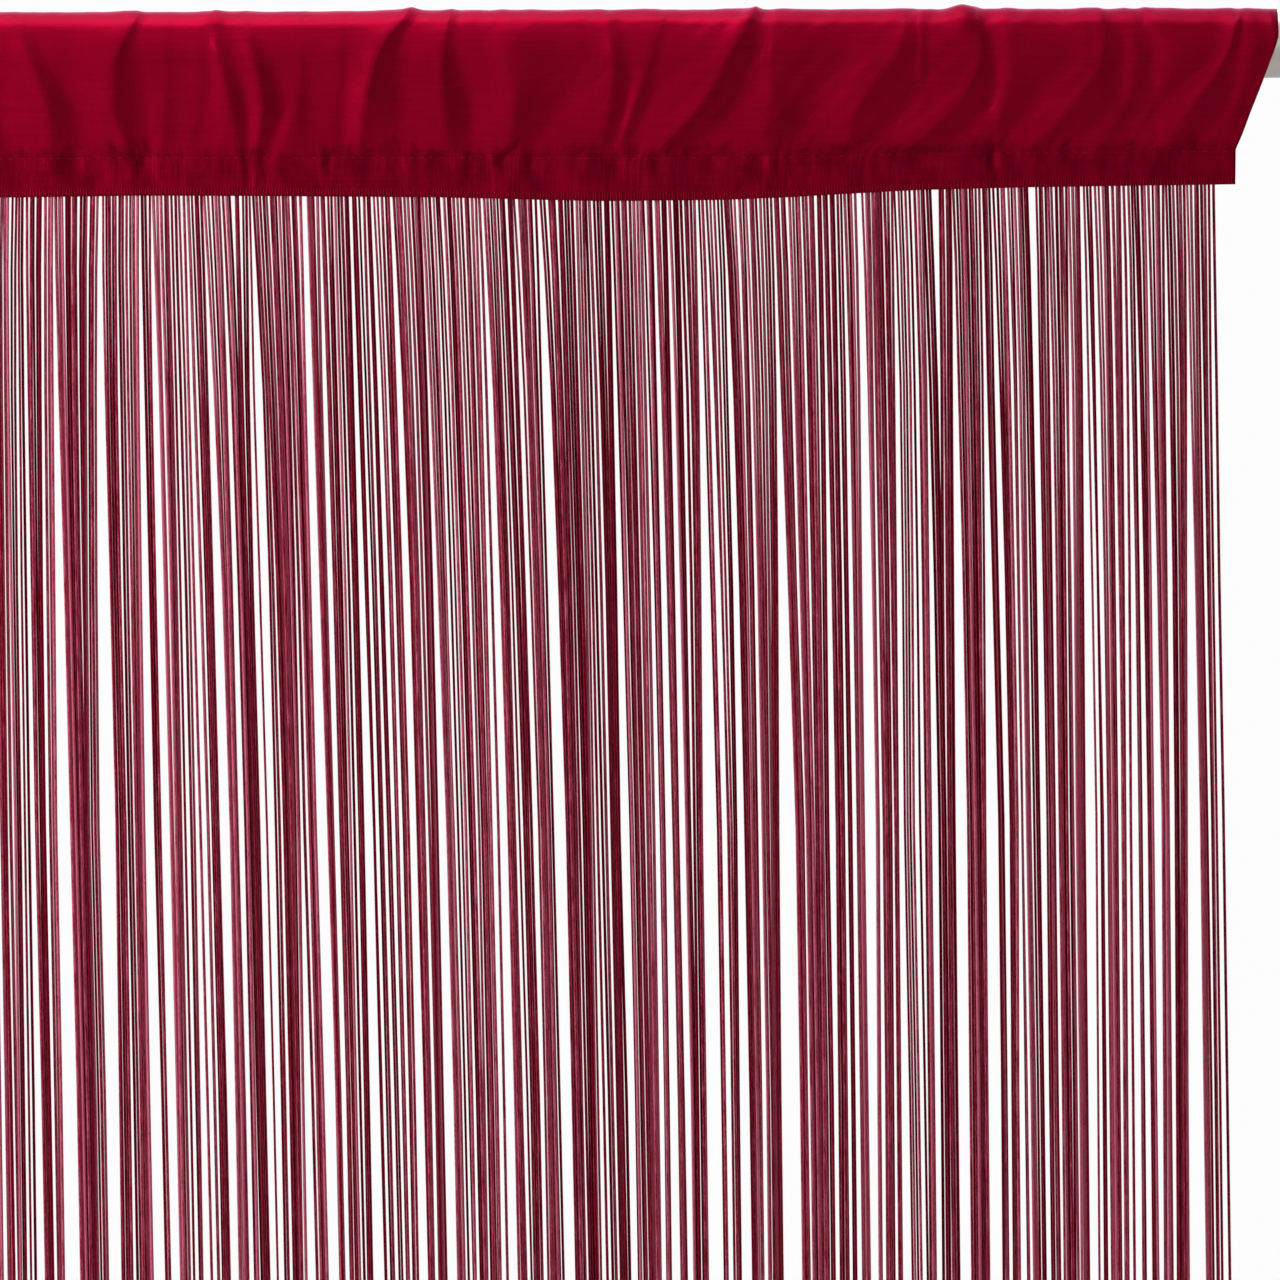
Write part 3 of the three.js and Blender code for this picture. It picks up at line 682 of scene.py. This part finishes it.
def rod_surface(settings):
    """A tube: its profile runs along the outside, round the rounded end, back along the bore and round the
    other end, and is turned about the rod's axis."""
    turn = np.linspace(0, np.pi, 9)
    round_off = 0.5 * settings.wall * np.cos(turn)
    bulge = settings.edge * np.sin(turn)
    middle = ROD_RADIUS - 0.5 * settings.wall
    radius = np.concatenate([middle + round_off, middle - round_off])
    x = np.concatenate([ROD_HIGH.x - settings.edge + bulge, ROD_LOW.x + settings.edge - bulge])
    angle = 2 * np.pi * np.arange(settings.sides) / settings.sides
    points = np.stack(np.broadcast_arrays(
        x[:, None], radius[:, None] * np.cos(angle), radius[:, None] * np.sin(angle)), axis=-1)
    numbers = np.arange(points.size // 3).reshape(points.shape[:2])
    quads = quads_between(np.pad(numbers, (0, 1), mode="wrap"))
    return points.reshape(-1, 3), quads[:, [0, 3, 2, 1]]


class Finish:
    """A material in the making. Each method adds one node, or a node and its mapping, and gives what it puts
    out. A socket that is handed in is linked, and any other value is set."""

    def __init__(self, name):
        self.material = bpy.data.materials.new(name)
        self.material.use_nodes = True
        self.tree = self.material.node_tree
        self.tree.nodes.clear()

    def node(self, kind, inputs=None, **settings):
        made = self.tree.nodes.new("ShaderNode" + kind)
        for name, value in settings.items():
            setattr(made, name, value)
        for name, value in (inputs or {}).items():
            if isinstance(value, bpy.types.NodeSocket):
                self.tree.links.new(value, made.inputs[name])
            else:
                made.inputs[name].default_value = value
        return made.outputs

    def piece_map(self):
        return self.node("UVMap", uv_map="PieceMap")["UV"]

    def points(self, name):
        return self.node("Attribute", attribute_name=name)["Fac"]

    def stretched(self, place, scale):
        return self.node("Mapping", {"Vector": place, "Scale": scale})["Vector"]

    def noise(self, place, scale, detail, dimensions="3D", **more):
        if isinstance(scale, tuple):
            place, scale = self.stretched(place, scale), 1
        inputs = {"Vector": place, "Scale": scale, "Detail": detail, **more}
        return self.node("TexNoise", inputs, noise_dimensions=dimensions)["Fac"]

    def waves(self, place, scale, direction, **more):
        inputs = {"Vector": place, "Scale": scale, **more}
        return self.node("TexWave", inputs, wave_type="BANDS", bands_direction=direction)["Fac"]

    def math(self, operation, *values):
        return self.node("Math", dict(enumerate(values)), operation=operation)["Value"]

    def spread(self, value, low, high, start=0, end=1):
        """From low to high while the value goes from start to end."""
        inputs = {"Value": value, "From Min": start, "From Max": end, "To Min": low, "To Max": high}
        return self.node("MapRange", inputs)["Result"]

    def ramp(self, factor, stops):
        """A colour ramp with these stops, each a position and a colour."""
        made = self.tree.nodes.new("ShaderNodeValToRGB")
        self.tree.links.new(factor, made.inputs["Fac"])
        elements = made.color_ramp.elements
        while len(elements) < len(stops):
            elements.new(0.5)
        for element, (position, colour) in zip(elements, stops):
            element.position = position
            element.color = (*colour, 1)
        return made.outputs["Color"]

    def bump(self, height, strength, distance, under=None):
        inputs = {"Height": height, "Strength": strength, "Distance": distance}
        if under is not None:
            inputs["Normal"] = under
        return self.node("Bump", inputs)["Normal"]

    def shaded(self, inputs):
        """The material itself, with these inputs of its shader."""
        shader = self.node("BsdfPrincipled", inputs)
        self.node("OutputMaterial", {"Surface": shader["BSDF"]})
        return self.material


def satin_material(settings):
    """Satin-faced taffeta: a fine weave with slubs along the heading, soft patches of lighter and darker dye,
    and in the band fine ribs and a darker colour with a frayed edge. That darker colour is partly the doubled
    band's duller look and partly painted shade under the sleeve, and its uneven patches and frayed edge above
    the seam are painted shadows of the puckers and hollows."""
    satin = Finish("crimson_satin")
    place = satin.piece_map()
    base = np.array(settings.colour)
    streaks = satin.noise(place, (32, 900, 1), 3, Roughness=0.6)
    patches = satin.noise(place, 38, 2)
    dye = satin.ramp(satin.math("MULTIPLY", satin.math("ADD", streaks, patches), 0.5), [
        (0.32, base * 0.82), (0.5, base), (0.68, base * 1.14),
    ])
    # Painted darkening of the band: partly its duller doubled cloth, partly painted shade under the sleeve.
    # The noise gives it uneven painted shadows of puckers and hollows, and a frayed edge above the seam.
    in_band = satin.points("band_share")
    painted_crumple_shade = satin.noise(place, (150, 70, 1), 3, Roughness=0.6)
    dull_and_shaded_band = satin.spread(painted_crumple_shade, -0.35 * settings.band_dullness_and_shade, -1.65 * settings.band_dullness_and_shade, 0.3, 0.7)
    frayed = satin.math("MULTIPLY_ADD", painted_crumple_shade, 1.6, in_band)
    band_edge = satin.spread(frayed, 0, 1, 1.05, 1.5)
    shade = satin.math("MULTIPLY_ADD", band_edge, dull_and_shaded_band, 1.0)

    weave = satin.math(
        "MULTIPLY",
        satin.waves(place, 900, "X", Distortion=0.6, Detail=1),
        satin.waves(place, 700, "Y", Distortion=0.4, Detail=1),
    )
    ribs = satin.math("MULTIPLY", satin.noise(place, (400, 60, 1), 3, Roughness=0.6), in_band)
    crumple = satin.noise(place, 130, 4, Roughness=0.6)
    relief = None
    for height, strength, distance in (
        (weave, 0.25, 0.08 * MM),
        (streaks, 0.2, 0.2 * MM),
        (ribs, 0.7, 0.6 * MM),
        (crumple, 0.4, 0.8 * MM),
    ):
        relief = satin.bump(height, strength, distance, relief)
    dullness = satin.spread(streaks, settings.roughness - 0.05, settings.roughness + 0.07)
    return satin.shaded({
        "Base Color": satin.node("HueSaturation", {"Color": dye, "Value": shade})["Color"],
        "Metallic": settings.lustre,
        "Roughness": satin.math("MULTIPLY_ADD", in_band, 0.2, dullness),
        "IOR": settings.refraction,
        "Specular Tint": (1, 0.02, 0.75, 1),
        "Sheen Weight": settings.sheen,
        "Sheen Roughness": 0.4,
        "Sheen Tint": (1, 0.02, 0.5, 1),
        "Normal": relief,
    })


def yarn_material(settings):
    """Twisted yarn: each string has its own shade and is mottled along its length. Its two sides are painted
    lighter and its front and back darker, a painted highlight where its edges catch the light. Two plies wind
    round it, a little unevenly, with painted shade in the grooves between them, and light catches in its
    fuzz."""
    # Among these: the strength of the painted shade between the plies, and of the painted highlight on the
    # sides
    turns_per_metre, wobble, mottling, painted_ply_shade, side_light_strength, spread_apart = 420, 8.0, 1.8, 0.08, 0.24, 90.0
    yarn = Finish("wine_yarn")
    own = yarn.points("string_shade")
    place = yarn.piece_map()
    around = yarn.node("SeparateXYZ", {"Vector": yarn.stretched(place, (1, turns_per_metre, 1))})
    slow = yarn.noise(
        place, (2, 90, 1), 5, dimensions="4D", W=yarn.math("MULTIPLY", own, spread_apart), Roughness=0.75)
    plies = yarn.math("MULTIPLY_ADD", around["X"], 2.0, around["Y"])
    phase = yarn.math("MULTIPLY_ADD", slow, wobble, plies)
    twist = yarn.math("SINE", yarn.math("MULTIPLY", phase, 2 * np.pi))
    # Painted highlight: lighter on the string's two sides, darker on its front and back
    painted_side_light = yarn.math("COSINE", yarn.math("MULTIPLY", around["X"], 4 * np.pi))
    mottled = yarn.math("MULTIPLY_ADD", slow, mottling, own)
    # Painted shade: darker in the grooves between the plies, lighter on their crests
    twisted = yarn.math("MULTIPLY_ADD", twist, painted_ply_shade, mottled)
    shade = yarn.math("MULTIPLY_ADD", painted_side_light, side_light_strength, twisted)
    fuzz = yarn.noise(place, (6, 900, 1), 3)
    return yarn.shaded({
        "Base Color": yarn.ramp(shade, [
            (0.35, settings.dark_colour), (0.62, settings.colour), (0.92, settings.light_colour),
        ]),
        "Roughness": 0.7,
        "Specular IOR Level": 0.12,
        "Specular Tint": (1, 0.15, 0.25, 1),
        "Sheen Weight": 1.0,
        "Sheen Roughness": 0.3,
        "Sheen Tint": (1, 0.12, 0.24, 1),
        "Normal": yarn.bump(fuzz, 0.4, 0.1 * MM, yarn.bump(twist, 0.5, 0.15 * MM)),
    })


def sewing_material(settings):
    """Sewing thread in the cloth's own crimson, with fine twist along it, painted lighter on the twist's
    crests and darker in its grooves as painted shade.
    """
    sewing = Finish("crimson_thread")
    twist = sewing.waves(sewing.piece_map(), 500, "DIAGONAL", Distortion=0.5)
    base = np.array(settings.colour)
    return sewing.shaded({
        # Painted shade: the colour darkens in the twist's grooves and lightens on its crests
        "Base Color": sewing.ramp(twist, [(0.1, base * 0.8), (0.9, base * 1.25)]),
        "Roughness": 0.5,
        "Specular IOR Level": 0.12,
        "Specular Tint": (1, 0.4, 0.5, 1),
        "Normal": sewing.bump(twist, 0.4, 0.05 * MM),
    })


def brushed_metal_material(settings):
    """Satin steel: fine brush lines round the tube, and slight unevenness in the polish."""
    steel = Finish("satin_steel")
    place = steel.node("TexCoord")["Object"]
    lines = steel.noise(place, (2600, 60, 60), 4, Roughness=0.6)
    base = np.array(settings.colour)
    return steel.shaded({
        "Base Color": steel.ramp(steel.noise(place, 22, 3), [(0.3, base * 0.93), (0.7, base * 1.04)]),
        "Metallic": 1.0,
        "Roughness": steel.spread(lines, settings.roughness - 0.06, settings.roughness + 0.08),
        "Normal": steel.bump(lines, 0.12, 0.05 * MM),
    })


def floor_material(settings):
    """Matt studio floor with the faintest mottling."""
    floor = Finish("pale_floor")
    mottle = floor.noise(floor.node("TexCoord")["Object"], 3, 4)
    base = np.array(settings.floor_colour)
    return floor.shaded({
        "Base Color": floor.ramp(mottle, [(0.3, base * 0.985), (0.7, base)]),
        "Roughness": 0.85,
        "Specular IOR Level": 0.2,
    })


def length(name, description, default):
    return FloatProperty(name=name, description=description, default=default, unit="LENGTH", precision=5)


def number(name, description, default, **limits):
    return FloatProperty(name=name, description=description, default=default, **limits)


def whole_number(name, description, default, low, high):
    return IntProperty(name=name, description=description, default=default, min=low, max=high)


def colour(name, description, default):
    return FloatVectorProperty(name=name, description=description, default=default, subtype="COLOR", size=3)


class HeadingSettings(PropertyGroup):
    columns: whole_number("Columns", "Columns of the cloth's grid", 580, 200, 600)
    thickness: length("Cloth thickness", "Thickness of one layer", 0.75 * MM)
    rod_clearance: length("Rod clearance", "Air between rod and cloth", 0.4 * MM)
    seam_half_thickness: length(
        "Half thickness at the seam", "From the band's middle to its face, at the seam", 0.95 * MM)
    hem_half_thickness: length(
        "Half thickness at the hem", "From the band's middle to its face, at the hem", 1.4 * MM)
    fold_softness: length("Fold softness", "How widely a fold's edge is rounded", 0.85 * MM)
    unevenness: length("Unevenness", "How far the cloth swells between folds", 0.22 * MM)
    ripple_pitch: length("Ripple pitch", "Mean distance between the ripples at the seam", 7 * MM)
    ripple_depth: length("Ripple depth", "How far the ripples at the seam stand out", 0.85 * MM)
    stitch_pinch: length("Stitch pinch", "How far the seam's stitches draw the cloth in", 0.15 * MM)
    stitches_below_seam: length(
        "Stitches below seam", "How far under the sleeve the stitches run", 0.8 * MM)
    colour: colour("Colour", "Crimson of the cloth", (0.3, 0.0008, 0.018))
    # The band is painted darker: partly its duller doubled cloth, partly painted shade under the sleeve and
    # of its puckers
    band_dullness_and_shade: number("Band shade", "How much darker the stitched band looks", 0.26)
    roughness: number("Roughness", "Dullness of the satin", 0.3)
    lustre: number("Lustre", "Share of coloured, metal-like shine", 0.2)
    refraction: number("Refractive index", "Strength of the white shine, none at 1", 1.06, min=1, max=2)
    sheen: number("Sheen", "Strength of the glow at grazing angles", 0.07)


class SewingSettings(PropertyGroup):
    thread_radius: length("Thread radius", "Radius of the sewing thread", 0.15 * MM)
    stitch_pitch: length("Stitch pitch", "From one seam stitch to the next", 4.1 * MM)
    stitch_length: length("Stitch length", "Length of a seam stitch", 2.4 * MM)
    hem_stitch_pitch: length("Hem stitch pitch", "From one hem stitch to the next", 1.2 * MM)
    hem_stitch_height: length("Hem stitch height", "How far up the band a hem stitch reaches", 3.2 * MM)
    turn_in: length("Turn-in", "How far a hem stitch turns in under the edge", 0.6 * MM)
    colour: colour("Colour", "Crimson of the thread", (0.36, 0.003, 0.024))


class StringSettings(PropertyGroup):
    count: whole_number("Strings", "Number of strings", 575, 50, 600)
    diameter: length("Diameter", "Diameter of a string", 1.3 * MM)
    sides: whole_number("Sides", "Faces round a string", 5, 4, 8)
    # The light colour is the lighter strings' own dusty rose, and also the painted highlight on every
    # string's sides
    light_colour: colour("Light colour", "Dusty rose where a string catches the light", (0.74, 0.17, 0.27))
    colour: colour("Colour", "Wine red of the strings", (0.42, 0.03, 0.07))
    dark_colour: colour("Dark colour", "Darkest wine red of the strings", (0.19, 0.001, 0.012))


class RodSettings(PropertyGroup):
    sides: whole_number("Sides", "Faces round the tube", 96, 24, 256)
    wall: length("Wall", "Wall of the tube", 1.2 * MM)
    edge: length("Edge", "How far the rounded cut end bulges", 0.4 * MM)
    colour: colour("Colour", "Grey of the metal", (0.5, 0.47, 0.45))
    roughness: number("Roughness", "Dullness of the metal", 0.32)


class StageSettings(PropertyGroup):
    lens: number("Lens", "Focal length in millimetres", 300)
    view_width: length("View width", "Width of the view at the rod", 527.4 * MM)
    view_centre: FloatVectorProperty(
        name="View centre", description="Point in the middle of the view", subtype="TRANSLATION", size=3,
        default=(186.6 * MM, -2 * MM, -244.6 * MM))
    tilt: number("Tilt", "Turn of the camera about its view", np.radians(0.227), subtype="ANGLE")
    below_strings: length("Floor below strings", "From the strings' ends to the floor", 40 * MM)
    floor_reach: length("Floor reach", "From the middle of the floor to its edges", 8)
    floor_colour: colour("Floor colour", "Pale floor", (0.86, 0.86, 0.855))
    surround: number("Surround", "Brightness of the white surround", 0.98)


class CURTAIN_OT_heading(Operator):
    """Makes the cloth heading: one sheet folded round the rod and doubled below the seam"""

    bl_idname = "curtain.heading"
    bl_label = "Cloth heading"

    def execute(self, context):
        settings = context.scene.curtain_heading
        grid = heading_surface(settings)
        rows, columns = grid.shape[:2]
        quads = quads_between(np.arange(rows * columns).reshape(rows, columns))
        along = lengths_along(grid[BAND_ROWS + FALL_ROWS // 2])
        around = lengths_along(grid[:, columns // 2])
        cloth_map = np.stack(np.broadcast_arrays(along, around[:, None]), axis=-1).reshape(-1, 2)
        material = satin_material(settings)
        piece = new_piece("heading_cloth", material, grid.reshape(-1, 3), quads, cloth_map[quads.ravel()])
        row = np.arange(rows)
        from_hem = np.minimum(row, row[::-1])
        # Where the band's darker colour goes, partly painted shade, fading out above the seam
        band_share = np.clip((BAND_ROWS + BAND_EDGE_ROWS - from_hem) / BAND_FADE_ROWS, 0, 1)
        give_points(piece, "band_share", np.repeat(band_share, columns))
        layer = piece.modifiers.new("thickness", "SOLIDIFY")
        layer.thickness = settings.thickness
        layer.offset = -1
        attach(piece, "root")
        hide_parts("heading")
        return {"FINISHED"}


class CURTAIN_OT_sewing(Operator):
    """Makes the stitches of the seam and of the hem, on the front and on the back"""

    bl_idname = "curtain.sewing"
    bl_label = "Sewing"

    def execute(self, context):
        settings = context.scene.curtain_sewing
        grid = heading_surface(context.scene.curtain_heading)
        normals = outward_directions(grid)
        radii = settings.thread_radius * np.array([[0.5, 1, 1, 1, 0.5]])
        material = sewing_material(settings)
        for name, make_paths, facing in (
            ("seam_stitches", seam_stitch_paths, (0, 0, 1)),
            ("hem_stitches", hem_stitch_paths, (1, 0, 0)),
        ):
            paths = np.concatenate([make_paths(grid, normals, settings, back) for back in (False, True)])
            piece = new_piece(name, material, *threads(paths, radii, THREAD_SIDES, facing))
            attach(piece, "root")
        return {"FINISHED"}


class CURTAIN_OT_strings(Operator):
    """Makes the strings that hang from the heading's lower edge"""

    bl_idname = "curtain.strings"
    bl_label = "Strings"

    def execute(self, context):
        settings = context.scene.curtain_strings
        paths = string_paths(heading_surface(context.scene.curtain_heading), settings)
        index = np.arange(settings.count)
        radius = 0.5 * settings.diameter * varied(1, RADIUS_UNEVENNESS, index, 90)
        radii = radius[:, None] * np.ones(paths.shape[1])
        radii[:, -1] *= CUT_END
        thread = threads(paths, radii, settings.sides, (0, -1, 0))
        piece = new_piece("strings", yarn_material(settings), *thread)
        shade = varied(*STRING_SHADE, index, 91)
        give_points(piece, "string_shade", np.repeat(shade, paths.shape[1] * settings.sides))
        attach(piece, "root")
        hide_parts("string_fringe")
        return {"FINISHED"}


class CURTAIN_OT_rod(Operator):
    """Makes the round metal rod as a tube, over the whole length of its solid"""

    bl_idname = "curtain.rod"
    bl_label = "Rod"

    def execute(self, context):
        settings = context.scene.curtain_rod
        piece = new_piece("rod_tube", brushed_metal_material(settings), *rod_surface(settings))
        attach(piece, "root")
        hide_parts("rod")
        return {"FINISHED"}


# Studio lights: name, kind, place in metres, the point it faces, energy, and width, for a far light an angle.
# The upper softbox gives the cloth its bright upper edge, and the side one shades the folds.
LIGHTS = [
    ("overhead", "SUN", (-0.08, 0.07, 1), (0, 0, 0), 1.5, {"angle": np.radians(40)}),
    ("front_fill", "SUN", (0.1, -1, 0), (0, 0, 0), 0.15, {"angle": np.radians(120)}),
    ("back_fill", "SUN", (0.2, 1, 0.15), (0, 0, 0), 2.4, {"angle": np.radians(110)}),
    ("upper_softbox", "AREA", (0.02, 0, 0.42), (0.02, 0, 0), 1.3, {"size": 0.4}),
    ("side_softbox", "AREA", (-1.1, -0.55, 0.18), (0.12, 0, -0.05), 15.4, {"size": 0.4}),
]


class CURTAIN_OT_stage(Operator):
    """Makes the pale floor, the white surround, the soft lights and the camera"""

    bl_idname = "curtain.stage"
    bl_label = "Stage"

    def execute(self, context):
        settings = context.scene.curtain_stage
        corners = np.array([[-1, -1, 0], [1, -1, 0], [1, 1, 0], [-1, 1, 0]]) * settings.floor_reach
        corners[:, 2] = STRINGS_END - settings.below_strings
        floor = new_piece("floor", floor_material(settings), corners, [[0, 1, 2, 3]])

        world = bpy.data.worlds.new("surround")
        world.use_nodes = True
        background = world.node_tree.nodes["Background"]
        background.inputs["Color"].default_value = (1, 1, 1, 1)
        background.inputs["Strength"].default_value = settings.surround
        world.cycles_visibility.diffuse = False
        context.scene.world = world
        context.scene.view_settings.view_transform = "Standard"

        for name, kind, place, facing, energy, width in LIGHTS:
            light = bpy.data.lights.new(name, kind)
            light.energy = energy
            for setting, value in width.items():
                setattr(light, setting, value)
            lamp = bpy.data.objects.new(name, light)
            lamp.location = place
            lamp.rotation_euler = (Vector(place) - Vector(facing)).to_track_quat("Z", "Y").to_euler()
            lamp.visible_camera = False
            context.scene.collection.objects.link(lamp)

        lens = bpy.data.cameras.new("camera")
        lens.lens = settings.lens
        camera = bpy.data.objects.new("camera", lens)
        distance = settings.view_width * lens.lens / lens.sensor_width
        camera.location = Vector(settings.view_centre) + Vector((0, -distance, 0))
        camera.rotation_euler = Euler((np.radians(90), settings.tilt, 0))
        context.scene.collection.objects.link(camera)
        context.scene.camera = camera
        return {"FINISHED"}


class CURTAIN_PT_sidebar(Panel):
    bl_label = "String curtain"
    bl_idname = "CURTAIN_PT_sidebar"
    bl_space_type = "VIEW_3D"
    bl_region_type = "UI"
    bl_category = "Curtain"

    def draw(self, context):
        for name, operator in zip(SETTINGS, OPERATORS):
            settings = getattr(context.scene, name)
            box = self.layout.box()
            for setting in settings.bl_rna.properties.keys():
                if setting not in ("rna_type", "name"):
                    box.prop(settings, setting)
            box.operator(operator.bl_idname)


SETTINGS = {
    "curtain_heading": HeadingSettings,
    "curtain_sewing": SewingSettings,
    "curtain_strings": StringSettings,
    "curtain_rod": RodSettings,
    "curtain_stage": StageSettings,
}
# The operators in the order of their settings
OPERATORS = (CURTAIN_OT_heading, CURTAIN_OT_sewing, CURTAIN_OT_strings, CURTAIN_OT_rod, CURTAIN_OT_stage)


def register():
    for group in (*SETTINGS.values(), *OPERATORS, CURTAIN_PT_sidebar):
        bpy.utils.register_class(group)
    for name, group in SETTINGS.items():
        setattr(bpy.types.Scene, name, PointerProperty(type=group))


def unregister():
    for name in SETTINGS:
        delattr(bpy.types.Scene, name)
    for group in (CURTAIN_PT_sidebar, *reversed(OPERATORS), *reversed(SETTINGS.values())):
        bpy.utils.unregister_class(group)


def main():
    register()
    bpy.ops.curtain.heading()
    bpy.ops.curtain.sewing()
    bpy.ops.curtain.strings()
    bpy.ops.curtain.rod()
    bpy.ops.curtain.stage()


if __name__ == "__main__":
    main()
